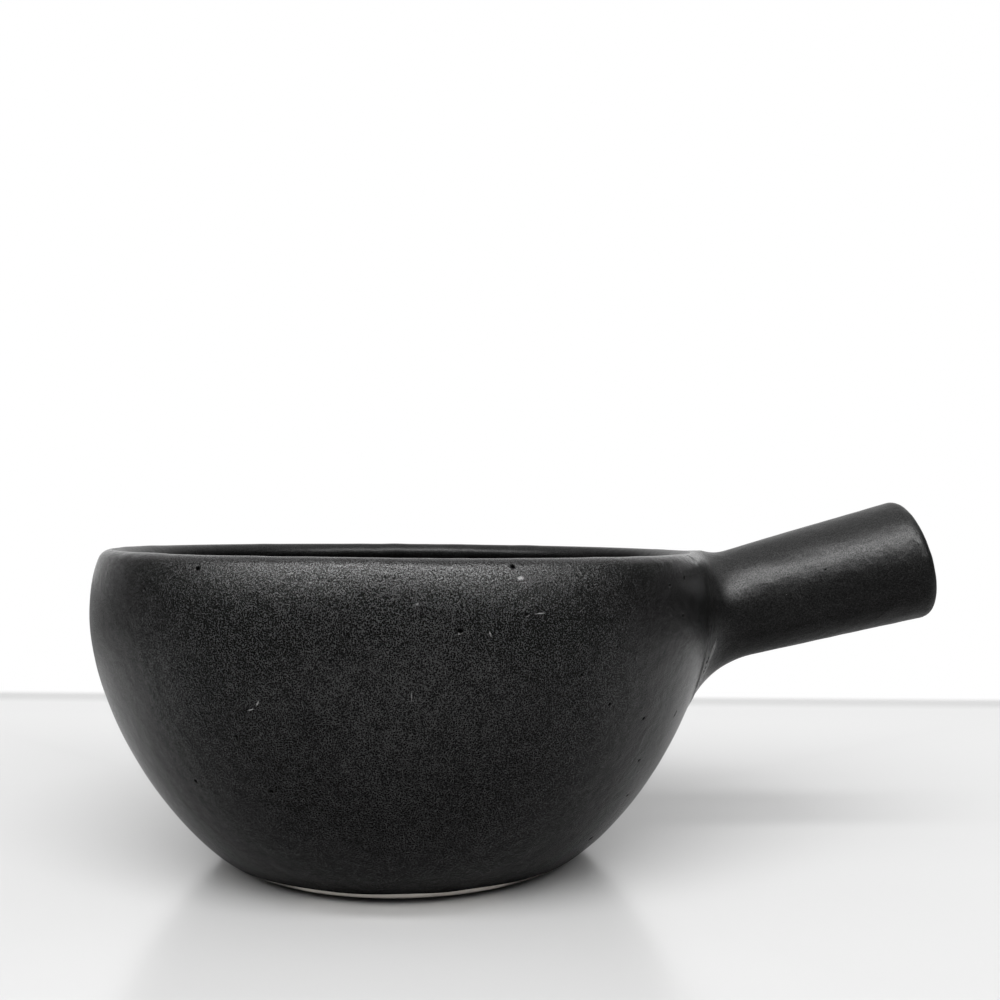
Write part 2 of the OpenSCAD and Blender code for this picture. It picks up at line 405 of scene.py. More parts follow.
def shell(front, back, normals, faces):
    """A closed thin coat: the faces, their copy on the back turned round, and a wall along each open edge."""
    used, local = np.unique(faces, return_inverse=True)
    local = local.reshape(faces.shape)
    count = len(used)
    edges = np.stack([local, np.roll(local, -1, axis=1)], -1).reshape(-1, 2)
    edges = edges[edges[:, 0] != edges[:, 1]]
    forth, reverse = edges @ (count, 1), edges @ (1, count)
    start, end = edges[~np.isin(forth, reverse)].T
    walls = np.stack([end, start, start + count, end + count], 1)
    all_faces = np.vstack([local, local[:, [1, 0, 3, 2]] + count, walls])
    return np.vstack([front[used], back[used]]), all_faces, np.vstack([normals[used], -normals[used]])


def piece(name, material, slot, nodes, points, faces, normals=None):
    """A smooth mesh of these points in millimetres, which rides on the part and stands for its CAD nodes."""
    normals = vertex_normals(points, faces) if normals is None else normals
    mesh = bpy.data.meshes.new(name)
    real = np.ones(faces.shape, bool)
    real[:, 3] = faces[:, 3] != faces[:, 2]
    mesh.vertices.add(len(points))
    mesh.vertices.foreach_set("co", (points * MM).ravel())
    mesh.loops.add(int(real.sum()))
    mesh.loops.foreach_set("vertex_index", faces[real])
    mesh.polygons.add(len(faces))
    mesh.polygons.foreach_set("loop_start", np.concatenate([[0], np.cumsum(real.sum(1))[:-1]]))
    mesh.polygons.foreach_set("use_smooth", np.ones(len(faces), bool))
    mesh.update(calc_edges=True)
    mesh.normals_split_custom_set_from_vertices(normals)
    mesh.materials.append(material)
    obj = bpy.data.objects.new(name, mesh)
    scene.collection.objects.link(obj)
    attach(obj, "root")
    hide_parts(*nodes)


# Materials
def linear(hex_colour):
    """An sRGB hex colour as the linear colour that shaders take."""
    parts = [int(hex_colour[i : i + 2], 16) / 255 for i in (1, 3, 5)]
    return [c / 12.92 if c <= 0.04045 else ((c + 0.055) / 1.055) ** 2.4 for c in parts] + [1]


def add(tree, kind, sockets=(), want=0, **settings):
    """Adds one node with its settings and links, and gives the wanted output, or all of them if want is None.

    Its inputs come in order, or by name or number in a dictionary. Each is a number, a colour or an output of
    another node.
    """
    made = tree.nodes.new("ShaderNode" + kind)
    for name, value in settings.items():
        setattr(made, name, value)
    for name, value in sockets.items() if isinstance(sockets, dict) else enumerate(sockets):
        if isinstance(value, bpy.types.NodeSocket):
            tree.links.new(value, made.inputs[name])
        else:
            made.inputs[name].default_value = value
    return made.outputs if want is None else made.outputs[want]


def new_material(name):
    """A new material, its node tree, its shader and its object coordinates."""
    material = bpy.data.materials.new(name)
    material.use_nodes = True
    tree = material.node_tree
    return material, tree, tree.nodes["Principled BSDF"], add(tree, "TexCoord", want="Object")


# Settings that several nodes share. A mix of colours has its share at input 0 and the two colours at 6 and 7.
soft = {"interpolation_type": "SMOOTHSTEP"}
colours = {"data_type": "RGBA", "want": 2}

# Marks on the glaze: bearing round the bowl in degrees from the handle, height, half length, half width, lean
# and, for scratches, how pale they are. The last one, on the lip, is a painted glint in the sheen there.
scratches_and_lip_glint = (
    (-108.2, 57.4, 1.1, 0.2, 20, 0.7),
    (-106.9, 59.1, 1.1, 0.24, 58, 0.9),
    (-83.6, 61.7, 1.8, 0.13, 90, 0.4),
    (-72.4, 76.1, 0.8, 0.25, 110, 0.6),
    (-64.7, 80.7, 1.6, 0.18, 3, 0.6),
    (-57.3, 81.4, 2.0, 0.15, 35, 0.15),
    (-67.4, 89.1, 1.0, 0.6, 10, 1),
    (-82.9, 83.3, 0.5, 0.3, 40, 0.4),
    # A painted glint in the sheen along the lip
    (-101.5, 90.0, 0.8, 0.3, 20, 0.5),
)
pits = (
    (-76.8, 77.0, 1.1, 0.9, 0),
    (-66.9, 80.6, 0.8, 0.6, 0),
    (-68.4, 91.8, 0.9, 0.8, 30),
    (-57.1, 65.2, 0.6, 0.6, 0),
    (-124.7, 36.0, 0.9, 0.7, 40),
    (-107.7, 36.2, 0.8, 0.7, 0),
    (-111.7, 50.3, 0.6, 0.6, 0),
    (-50.3, 56.8, 0.7, 0.6, 0),
    (-40.2, 51.2, 0.8, 0.6, 0),
    (-26.7, 49.0, 0.9, 0.6, 60),
    (-35.4, 38.1, 0.8, 0.6, 30),
    (-31.0, 26.5, 0.8, 0.6, 0),
    (-33.7, 13.8, 1.3, 0.7, 30),
    (-36.3, 86.0, 0.7, 0.6, 0),
    (-30.3, 87.6, 0.9, 0.6, 70),
    (-32.4, 77.7, 0.6, 0.6, 0),
    (-117.8, 90.7, 0.9, 0.7, 20),
    (-128.8, 85.0, 0.7, 0.7, 0),
)

# The joint's lower seam: dark pits, each a place and a radius, and pale lines, each two ends, a half width
# and how pale it is. The first two lines are pale streaks of the seam; the last two, lower along the wall's
# right edge, are painted sheen of that edge.
seam_out = unit(np.array([0.8, -0.45, -0.38]))
seam_pits = (
    (92.3, -21.0, 62.7, 0.5),
    (91.7, -21.2, 61.5, 0.65),
    (91.6, -19.8, 59.6, 0.55),
    (91.0, -19.8, 58.4, 0.6),
    (90.9, -18.6, 57.0, 0.5),
    (89.9, -19.0, 55.3, 0.5),
    (79.8, -39.7, 49.7, 0.6),
)
seam_lines_and_edge_sheen = (
    ((94.7, -20.4, 68.4), (92.4, -19.6, 60.0), 1.1, 0.55),
    ((93.0, -19.4, 62.0), (90.4, -17.6, 54.4), 1, 0.6),
    # Painted sheen along the wall's right edge, below the joint
    ((89.9, -19.0, 55.6), (86.8, -21.9, 50.4), 0.4, 0.7),
    ((87.0, -21.6, 51.0), (83.4, -28.4, 47.0), 0.4, 0.6),
)


def on_bowl(bearing, height, lean):
    """The glaze's point at a bearing and height, a direction along it at a lean, and the one out of it."""
    turn, tilt = math.radians(bearing), math.radians(lean)
    length = np.interp(height, outside[:, 2], outside[:, 0])
    r, z = point_on(outside, length, glaze_t)
    out_r, out_z = (np.interp(length, outside[:, 0], column) for column in outside[:, 3:].T)
    out = np.array([out_r * math.cos(turn), out_r * math.sin(turn), out_z])
    around = np.array([-math.sin(turn), math.cos(turn), 0])
    along = math.cos(tilt) * around + math.sin(tilt) * np.cross(out, around)
    return np.array([r * math.cos(turn), r * math.sin(turn), z]), along, out


# Matt black glaze, dipped and fired to stoneware heat: a charcoal coat with a soft sheen, sandy where the
# clay's grit shows through it and smoother on the handle and towards the foot, with pinholes, a few pits and
# scratches and a paler line along the rim's crest. The lower wall is painted darker as shade, and a band over
# the foot darker and duller as its contact shade. Inside it is smoother, and below the rim painted darker and
# duller as the shade in the bowl. A painted glint sits on the lip, and painted sheen along the wall's right
# edge below the joint. The grit is really about 0.3 mm wide and is drawn a little coarser.
grit_mm = 0.36
lump_mm = 3.5
streak_mm = 26
streak_stretch = 0.35
pinhole_cell_mm = 11
pinhole_r_mm, pinhole_fade = 0.34, (0.5, 1.3)
mark_depth_mm, mark_fade = 1.5, (0.4, 1.1)
# The pale mark colour serves the scratches, the seam streaks and the painted glint and sheen
glaze_dark, glaze_pale, scratch_and_sheen_pale = linear("#020202"), linear("#343434"), linear("#909090")

# Stretches over which the finish and the painted shade change, up the pot and towards the handle
smooth_low, sandy_high = 22 * MM, 66 * MM
sandy_left, smooth_right = 48 * MM, 78 * MM
bowl_ends, handle_begins = 84 * MM, 104 * MM
heel_low, heel_top = glaze_line * MM, 10 * MM
depth_low, depth_top = (bowl_h - 6) * MM, (bowl_h - 1) * MM
crest_low, crest_top = (bowl_h - 2) * MM, (bowl_h - 0.3) * MM

# Sandiness that is left at the foot and beside the handle
sand_low, sand_right = 0.8, 0.55

# Tone, from 0 at the dark colour to 1 at the pale one: what the noises make of it, and what is added by place
grit_range, grit_tone = (0.26, 0.74), (-1, 1.05)
slow_range, lump_tone, streak_tone = (0.3, 0.7), (-0.12, 0.12), (0.42, 0.56)
# The lower wall's tone and the foot band's tone are painted shade
lower_wall_shade_tone, foot_band_shade_tone, handle_tone, crest_tone = -0.16, -0.4, -0.22, 0.03
least_tone, tone_power = 0.05, 2.2

# Pale marks that the grit breaks up, heights of the bump, and gloss between grains and on faces that look
# down, where it is cut as painted shade
broken_range, broken_least = (0.35, 0.55), 0.2
grit_height_mm, lump_height_mm, pit_depth_mm = 0.12, 0.2, 0.25
down_range, down_share = (-0.6, 0), 0.25
shine_range, grain_shine = (0.34, 0.62), (0.2, 1.7)
handle_roughness = 0.38


def matt_black_glaze(name, grittiness, shade_tone_at_depth, gloss, shade_gloss_at_depth, roughness):
    """One side's glaze: how gritty, glossy and rough, and its tone and gloss below the rim, painted as shade.
    """
    material, tree, shader, place = new_material(name)
    position = add(tree, "SeparateXYZ", [place], None)
    x, z = position["X"], position["Z"]
    fine, slow = 1 / (grit_mm * MM), 1 / (streak_mm * MM)
    grit = add(tree, "TexNoise", {"Vector": place, "Scale": fine, "Detail": 2, "Roughness": 0.8})
    lump = add(tree, "TexNoise", {"Vector": place, "Scale": 1 / (lump_mm * MM), "Detail": 2})
    run = add(tree, "Mapping", {"Vector": place, "Scale": (1, 1, streak_stretch)})
    streak = add(tree, "TexNoise", {"Vector": run, "Scale": slow, "Detail": 3, "Roughness": 0.55})

    # How sandy it is: most on the upper left of the wall, less towards the foot and the handle
    upper = add(tree, "MapRange", [z, smooth_low, sandy_high, sand_low, 1], **soft)
    left = add(tree, "MapRange", [x, sandy_left, smooth_right, 1, sand_right], **soft)
    sandy = add(tree, "Math", [upper, left], operation="MULTIPLY")
    sandy = add(tree, "Math", [sandy, grittiness], operation="MULTIPLY")

    # Tone: grit, slow streaks, painted shade on the lower wall, over the foot and inside, darker on the
    # handle, and paler along the crest
    tone = add(tree, "MapRange", [grit, *grit_range, *grit_tone])
    tone = add(tree, "Math", [tone, sandy], operation="MULTIPLY")
    patchy = add(tree, "MapRange", [lump, *slow_range, *lump_tone])
    tone = add(tree, "Math", [patchy, sandy, tone], operation="MULTIPLY_ADD")
    off_bowl = add(tree, "MapRange", [x, bowl_ends, handle_begins, 0, 1], **soft)
    at_rim = add(tree, "MapRange", [z, crest_low, crest_top, 0, crest_tone], **soft)
    # Painted shade: darker down the lower wall, over the foot and, inside, below the rim
    for change in (
        add(tree, "MapRange", [streak, *slow_range, *streak_tone]),
        add(tree, "MapRange", [z, smooth_low, sandy_high, lower_wall_shade_tone, 0], **soft),
        add(tree, "MapRange", [z, heel_low, heel_top, foot_band_shade_tone, 0], **soft),
        add(tree, "Math", [off_bowl, handle_tone], operation="MULTIPLY"),
        add(tree, "MapRange", [off_bowl, 0, 1, at_rim, 0]),
        add(tree, "MapRange", [z, depth_low, depth_top, shade_tone_at_depth, 0], **soft),
    ):
        tone = add(tree, "Math", [tone, change], operation="ADD")
    tone = add(tree, "Math", [tone, least_tone], operation="MAXIMUM")
    tone = add(tree, "Math", [tone, tone_power], operation="POWER")
    colour = add(tree, "Mix", {0: tone, 6: glaze_dark, 7: glaze_pale}, **colours)

    # Pinholes, pits, scratches and pale seam streaks, with a painted glint on the lip and painted sheen along
    # the wall's right edge
    pin = add(tree, "TexVoronoi", {"Vector": place, "Scale": 1 / (pinhole_cell_mm * MM)})
    pinhole_edges = [fade * pinhole_r_mm / pinhole_cell_mm for fade in pinhole_fade]
    hollow = add(tree, "MapRange", [pin, *pinhole_edges, 1, 0], **soft)

    def mark(centre, along, out, half_length, half_width):
        """1 in the middle of an ellipse that lies on the surface, and 0 outside it."""
        across = unit(np.cross(out, along))
        axes = Matrix(np.stack([along, across, np.cross(along, across)], 1).tolist())
        size = [half_length * MM, half_width * MM, mark_depth_mm * MM]
        local = add(tree, "Mapping", [place, list(centre * MM), axes.to_euler(), size], vector_type="TEXTURE")
        away = add(tree, "VectorMath", [local], "Value", operation="LENGTH")
        return add(tree, "MapRange", [away, *mark_fade, 1, 0], **soft)

    dark_marks = [mark(*on_bowl(turn, up, lean), long, wide) for turn, up, long, wide, lean in pits]
    dark_marks += [mark(np.array(centre), np.array([0, 0, 1]), seam_out, r, r) for *centre, r in seam_pits]
    pale_marks = [
        (mark(*on_bowl(turn, up, lean), long, wide), pale) for turn, up, long, wide, lean, pale in scratches_and_lip_glint
    ]
    for start, end, wide, pale in seam_lines_and_edge_sheen:
        start, end = np.array(start), np.array(end)
        half_length = np.linalg.norm(end - start) / 2
        pale_marks.append((mark((start + end) / 2, unit(end - start), seam_out, half_length, wide), pale))
    for shape in dark_marks:
        hollow = add(tree, "Math", [hollow, shape], operation="MAXIMUM")
    scratch_and_sheen = 0
    for shape, pale in pale_marks:
        pale = add(tree, "Math", [shape, pale], operation="MULTIPLY")
        scratch_and_sheen = add(tree, "Math", [scratch_and_sheen, pale], operation="MAXIMUM")
    broken = add(tree, "MapRange", [grit, *broken_range, broken_least, 1], **soft)
    scratch_and_sheen = add(tree, "Math", [scratch_and_sheen, broken], operation="MULTIPLY")
    colour = add(tree, "Mix", {0: hollow, 6: colour, 7: glaze_dark}, **colours)
    colour = add(tree, "Mix", {0: scratch_and_sheen, 6: colour, 7: scratch_and_sheen_pale}, **colours)
    tree.links.new(colour, shader.inputs["Base Color"])

    # Bump of the grit, of the slower lumps and of the pits
    grain_height = add(tree, "Math", [sandy, grit_height_mm], operation="MULTIPLY")
    height = add(tree, "Math", [grit, grain_height], operation="MULTIPLY")
    height = add(tree, "Math", [lump, lump_height_mm, height], operation="MULTIPLY_ADD")
    height = add(tree, "Math", [hollow, -pit_depth_mm, height], operation="MULTIPLY_ADD")
    bump = add(tree, "Bump", {"Height": height, "Distance": MM, "Strength": 1})
    tree.links.new(bump, shader.inputs["Normal"])
    rough = add(tree, "MapRange", [off_bowl, 0, 1, roughness, handle_roughness])
    tree.links.new(rough, shader.inputs["Roughness"])

    # The coat shines less between the grains and in its pits, and its gloss is cut as painted shade where it
    # faces down, at depth inside and over the foot
    facing = add(tree, "SeparateXYZ", [add(tree, "NewGeometry", want="Normal")], "Z")
    gloss_with_shade = add(tree, "MapRange", [facing, *down_range, down_share * gloss, gloss], **soft)
    shine = add(tree, "MapRange", [grit, *shine_range, *grain_shine])
    for change in (
        add(tree, "MapRange", [sandy, 0, 1, 1, shine]),
        add(tree, "Math", [1, hollow], operation="SUBTRACT"),
        add(tree, "MapRange", [z, depth_low, depth_top, shade_gloss_at_depth, 1], **soft),
        add(tree, "MapRange", [z, heel_low, heel_top, 0, 1], **soft),
    ):
        gloss_with_shade = add(tree, "Math", [gloss_with_shade, change], operation="MULTIPLY")
    tree.links.new(gloss_with_shade, shader.inputs["Specular IOR Level"])
    return material


# Stoneware clay, turned and left bare: pale, dry and fine-grained, with a few dark iron specks. Its bottom
# edge is painted dark as the shade where it stands, and that painted shade climbs the foot at its sides
# beside a lit stretch in front and behind.
clay_grit_mm, clay_grit_height_mm = 0.5, 0.05
clay_cloud_mm = 15
iron_cell_mm = 5
iron_r_mm, iron_fade, iron_most = 0.3, (0.5, 1.5), 0.7
# Painted shade at the foot's bottom edge, rising at the sides
lit_middle, lit_half = 4 * MM, (25 * MM, 34 * MM)
painted_shade_full, painted_shade_rise, painted_shade_most = 0.7 * MM, (2 * MM, 10 * MM), 0.85


def bare_stoneware():
    """The clay: clouded, specked with iron, and painted dark as shade from below, up to a line rising at its
    sides.
    """
    material, tree, shader, place = new_material("bare_turned_stoneware")
    position = add(tree, "SeparateXYZ", [place], None)
    grit = add(tree, "TexNoise", {"Vector": place, "Scale": 1 / (clay_grit_mm * MM), "Detail": 3})
    cloud = add(tree, "TexNoise", {"Vector": place, "Scale": 1 / (clay_cloud_mm * MM), "Detail": 3})
    iron = add(tree, "TexVoronoi", {"Vector": place, "Scale": 1 / (iron_cell_mm * MM)})
    iron_edges = [fade * iron_r_mm / iron_cell_mm for fade in iron_fade]
    speck = add(tree, "MapRange", [iron, *iron_edges, iron_most, 0])
    body = add(tree, "Mix", {0: cloud, 6: linear("#b0aba4"), 7: linear("#c3beb7")}, **colours)
    specked = add(tree, "Mix", {0: speck, 6: body, 7: linear("#5d564e")}, **colours)
    # Painted shade from the foot's bottom edge up, higher at the sides than in front and behind
    aside = add(tree, "Math", [position["X"], lit_middle], operation="SUBTRACT")
    aside = add(tree, "Math", [aside], operation="ABSOLUTE")
    painted_shade_top = add(tree, "MapRange", [aside, *lit_half, *painted_shade_rise], **soft)
    clay_foot_shade = add(tree, "MapRange", [position["Z"], painted_shade_full, painted_shade_top, painted_shade_most, 0], **soft)
    shaded_clay = add(tree, "Mix", {0: clay_foot_shade, 6: specked, 7: linear("#24211f")}, **colours)
    tree.links.new(shaded_clay, shader.inputs["Base Color"])
    height = add(tree, "Math", [grit, clay_grit_height_mm], operation="MULTIPLY")
    bump = add(tree, "Bump", {"Height": height, "Distance": MM, "Strength": 1})
    tree.links.new(bump, shader.inputs["Normal"])
    shader.inputs["Roughness"].default_value = 0.85
    shader.inputs["Specular IOR Level"].default_value = 0.3
    return material


outside_glaze = matt_black_glaze(
    "matt_black_stoneware_glaze",
    grittiness=1,
    shade_tone_at_depth=0,
    gloss=0.45,
    shade_gloss_at_depth=1,
    roughness=0.21,
)
# Inside, the tone and gloss at depth are painted shade in the bowl below the rim
inside_glaze = matt_black_glaze(
    "matt_black_stoneware_glaze_inside",
    grittiness=0.45,
    shade_tone_at_depth=-0.25,
    gloss=0.26,
    shade_gloss_at_depth=0.35,
    roughness=0.34,
)
clay = bare_stoneware()

# Outside of the bowl: lathe columns, with a window left open round the handle's root
angles = 2 * math.pi * np.arange(bowl_columns) / bowl_columns
line_at = np.interp(glaze_line, outside[:, 2], outside[:, 0])
crest_at = outside[-1, 0]
edge_roll = 0.9
edge_rows = edge_roll * (1 - np.cos(np.linspace(0, math.pi / 2, edge_points)))[:-1]
rows_up = np.concatenate([edge_rows, graded(outside, line_at + edge_roll, crest_at) - line_at])
coat = coat_gap * 2 + (glaze_t - coat_gap * 2) * np.sqrt(1 - (1 - np.minimum(rows_up / edge_roll, 1)) ** 2)
ring = np.stack([np.cos(angles), np.sin(angles), 0 * angles], 1) * foot_r
wander_height, wander_wave = 0.3, 16
line_wander = wander_height * (1 + waves(ring, wander_wave, seed=3))
lengths = line_at + line_wander[:, None] + rows_up * (1 - line_wander[:, None] / rows_up[-1])
angle_grid = np.broadcast_to(angles[:, None], lengths.shape)
wall_front = turned(outside, angle_grid, lengths, coat)
wall_back = turned(outside, angle_grid, lengths, coat_gap)
wall_ids = np.arange(lengths.size).reshape(lengths.shape)

# The window's edge, once round against the clock as seen from the handle
top_row = len(rows_up) - 1
window_low_z = 38
low_row = np.searchsorted(point_on(outside, line_at + rows_up, glaze_t)[1], window_low_z)
across = np.arange(-window_columns, window_columns)
up = np.arange(low_row, top_row)
edge_column = np.concatenate([across, 0 * up + window_columns, -across, 0 * up - window_columns])
edge_row = np.concatenate([0 * across + low_row, up, 0 * across + top_row, up[::-1] + 1])
window_ids = wall_ids[edge_column, edge_row]
window_angle = 2 * math.pi * edge_column / bowl_columns
window_length = lengths[edge_column, edge_row]


# Each window vertex is led straight to the joint's edge, in the wall's own angle and length
def on_wall(points):
    """Angle round the bowl and length up its wall of points on the glaze."""
    heights = point_on(outside, outside[:, 0], glaze_t)[1]
    return np.arctan2(points[:, 1], points[:, 0]), np.interp(points[:, 2], heights, outside[:, 0])


probe = np.linspace(-2 * math.pi, 2 * math.pi, probe_points)
probe_angle, probe_length = on_wall(seat(joint_edge_q(probe), 0, probe, glaze_t))
middle = (probe_length.min() + probe_length.max()) / 2
probe_bearing = np.unwrap(np.arctan2(probe_length - middle, probe_angle * bowl_r))
probe_bearing -= 2 * math.pi * np.round(probe_bearing[len(probe) // 2] / (2 * math.pi))
window_bearing = np.unwrap(np.arctan2(window_length - middle, window_angle * bowl_r))
a = np.interp(window_bearing, probe_bearing, probe)
joint_edge = seat(joint_edge_q(a), 0, a, glaze_t)
hole_angle, hole_length = on_wall(joint_edge)
lead_power = 1.5
lead = ((1 - np.arange(1, patch_rows + 1) / patch_rows) ** lead_power)[None]
patch_angle = hole_angle[:, None] + lead * (window_angle - hole_angle)[:, None]
patch_length = hole_length[:, None] + lead * (window_length - hole_length)[:, None]
patch_front = turned(outside, patch_angle, patch_length, glaze_t)
patch_back = turned(outside, patch_angle, patch_length, coat_gap)

# The joint leaves the bowl along its wall and runs in a hollow curve to the handle's side
tangent_step = 0.5
corner = seat(handle_r(0), taper, a, glaze_t)
joint_end = about_axis(joint_end_s, handle_r(joint_end_s), a)
off_wall = unit(seat(joint_edge_q(a) - tangent_step, 0, a, glaze_t) - joint_edge)
to_corner = np.linalg.norm(corner - joint_edge, axis=1, keepdims=True)
pull_off_wall = joint_edge + joint_full * to_corner * off_wall
pull_to_side = joint_end + joint_full * (corner - joint_end)
t = (np.arange(1, joint_rows + 1) / joint_rows)[None, :, None]
joint_front = (
    (1 - t) ** 3 * joint_edge[:, None]
    + 3 * (1 - t) ** 2 * t * pull_off_wall[:, None]
    + 3 * (1 - t) * t**2 * pull_to_side[:, None]
    + t**3 * joint_end[:, None]
)

# The handle's outline in distance from its axis and along it: side, rounded edge, end and mouth
flare = math.degrees(math.atan(taper))
end_edge_s = end_s + glaze_t - end_edge_r
end_edge_q = handle_r(end_edge_s) - end_edge_r
side = straight((handle_r(joint_end_s), joint_end_s), (end_edge_q + end_edge_r, end_edge_s))
end_edge = arc((end_edge_q, end_edge_s), end_edge_r, -flare, 90)
mouth = arc((bore_r + mouth_edge_r, end_s - mouth_edge_r), mouth_edge_r + glaze_t, 90, 90 + mouth_glaze)
handle_outline = joined(side, end_edge, mouth)
handle_step = 0.8
handle_lengths = np.linspace(0, handle_outline[-1, 0], int(handle_outline[-1, 0] / handle_step))[1:]
handle_q, handle_s = point_on(handle_outline, handle_lengths, 0)
handle_front = about_axis(handle_s[None], handle_q[None], a[:, None])

# Inside of the bowl, from the crest to the middle of the floor
pole_gap = 1.5
down = graded(inside, 0, inside[-1, 0] - pole_gap)[1:]
down_grid = np.broadcast_to(down, (bowl_columns, len(down)))
inside_angle = np.broadcast_to(angles[:, None], down_grid.shape)
inside_front = turned(inside, inside_angle, down_grid, glaze_t)
inside_back = turned(inside, inside_angle, down_grid, coat_gap)
pole_front = np.array([[0, 0, floor_z + glaze_t]])
pole_back = np.array([[0, 0, floor_z + coat_gap]])

# All the glazed surfaces share one list of vertices, so that shading runs over the seams between the coats
loop_front = np.concatenate([patch_front, joint_front, handle_front], 1)
loop_ids = wall_ids.size + np.arange(loop_front[..., 0].size).reshape(loop_front.shape[:2])
inside_ids = loop_ids.max() + 1 + np.arange(down_grid.size).reshape(down_grid.shape)
pole_id = inside_ids.max() + 1
loop_ids = np.hstack([window_ids[:, None], loop_ids])
inside_ids = np.hstack([wall_ids[:, -1:], inside_ids])
front = np.concatenate([part.reshape(-1, 3) for part in (wall_front, loop_front, inside_front, pole_front)])

# The handle's root is blended into the wall. The rim's crest, and what lies just under it, stay as thrown.
outer = front[: wall_ids.size + loop_front[..., 0].size]
at_root = np.flatnonzero((outer[:, 0] > bowl_r / 2) & (np.abs(outer[:, 1]) < blend_reach))
past_crest = np.hypot(outer[at_root, 0], outer[at_root, 1]) - lip_centre[0]
under_rim = bowl_h - outer[at_root, 2]
free = np.maximum(
    smooth((past_crest - crest_kept) / (crest_free - crest_kept)),
    smooth((under_rim - rim_kept) / (rim_free - rim_kept)),
)
outer[at_root] += free[:, None] * (blended(outer[at_root]) - outer[at_root])
loop_front = front[wall_ids.size :][: loop_front[..., 0].size].reshape(loop_front.shape)

# Faces of each coat
in_window = np.zeros((bowl_columns, top_row), bool)
in_window[np.ix_(across % bowl_columns, up)] = True
bowl_faces = np.vstack([quads(wall_ids)[~in_window], quads(loop_ids[:, : patch_rows + 1]).reshape(-1, 4)])
joint_faces = quads(loop_ids[:, patch_rows : patch_rows + joint_rows + 1]).reshape(-1, 4)
handle_faces = quads(loop_ids[:, patch_rows + joint_rows :]).reshape(-1, 4)
inside_faces = np.vstack([quads(inside_ids).reshape(-1, 4), fan(inside_ids[:, -1], pole_id)])
glazed_faces = np.vstack([bowl_faces, joint_faces, handle_faces, inside_faces])
normals = vertex_normals(front, glazed_faces)

# Backs of the coats: on the clay where it is turned, and one coat's thickness in on the joint and handle
loop_back = loop_front - (glaze_t - 2 * coat_gap) * normals[loop_ids[:, 1:]]
loop_back[:, :patch_rows] = patch_back
back = np.concatenate([part.reshape(-1, 3) for part in (wall_back, loop_back, inside_back, pole_back)])

# Unevenness of a hand-made coat, as heights, wavelengths and seeds, all of it sunk a little so that the pot
# keeps its size
sunk = 0.14
relief = np.full(len(front), -sunk)
for height, wavelength, seed in ((0.09, 45, 11), (0.03, 11, 12), (0.02, 6, 16)):
    relief += height * waves(front, wavelength, seed)

# The rim's crest is worn down a little more, unevenly
crest_width, crest_height, crest_wave, crest_wear = 2, 0.1, 17, 0.8
crest = bell(front[:, 2] - bowl_h, crest_width)
relief += crest * crest_height * (waves(front, crest_wave, seed=13) - crest_wear)

# A few wrinkles are left in the slip beside the rim
wrinkle_at = np.array([88, -20, 92])
wrinkle_height, wrinkle_wave, wrinkle_spread = 0.12, 4, 8
loop_points = front[loop_ids]
s, q, a = from_axis(loop_points)
near_wrinkles = bell(np.linalg.norm(loop_points - wrinkle_at, axis=-1), wrinkle_spread)
wrinkles = wrinkle_height * waves(loop_points, wrinkle_wave, seed=15) * near_wrinkles

# The coil's lower edge stands up a little from the bowl as a thin ridge with a groove beside it
ridge_a, ridge_spread = math.radians(-145), math.radians(38)
ridge_height, ridge_in, ridge_width = 0.3, 0.3, 0.7
groove_depth, groove_out, groove_width = 0.15, 1.1, 0.6
along_ridge = bell((a - ridge_a + math.pi) % (2 * math.pi) - math.pi, ridge_spread)
from_edge = q - joint_edge_q(a)
on_side = (s < joint_end_s) & (q > handle_root_r)
raised_edge = ridge_height * bell(from_edge + ridge_in, ridge_width)
groove = groove_depth * bell(from_edge - groove_out, groove_width)
ridge = on_side * along_ridge * (raised_edge - groove)

# The handle is patted into shape and a little lumpy
pat_height, pat_wave, pat_ease = 0.03, 5, 10
lumps = pat_height * waves(loop_points, pat_wave, seed=17) * np.clip((s - joint_end_s) / pat_ease, 0, 1)
relief[loop_ids] += wrinkles + ridge + lumps

# Throwing rings spiral down the inside and over the floor
ring_pitch, ring_height, ring_start, ring_ease = 6, 0.1, 14, 12
ring_fade = np.clip((down_grid - ring_start) / ring_ease, 0, 1)
rings = ring_height * ring_fade * np.sin(2 * math.pi * down_grid / ring_pitch + inside_angle)
relief[inside_ids[:, 1:]] += rings

# No hollow goes through the coat, and the relief fades with the coat at the glaze line
deepest_share = 0.6
thin_edge = np.ones(len(front))
thin_edge[wall_ids] = (coat / glaze_t)[None]
relief = np.clip(relief, -deepest_share * glaze_t, None) * thin_edge
front = warped(front + relief[:, None] * normals)
back = warped(back)
normals = vertex_normals(front, glazed_faces)

for name, material, faces, node in (
    ("bowl_glaze_outside", outside_glaze, bowl_faces, "outer_glaze"),
    ("joint_glaze_coat", outside_glaze, joint_faces, "joint_glaze"),
    ("handle_glaze_coat", outside_glaze, handle_faces, "handle_glaze"),
    ("bowl_glaze_inside", inside_glaze, inside_faces, "inner_glaze"),
):
    piece(name, material, "black_glaze", [node], *shell(front, back, normals, faces))

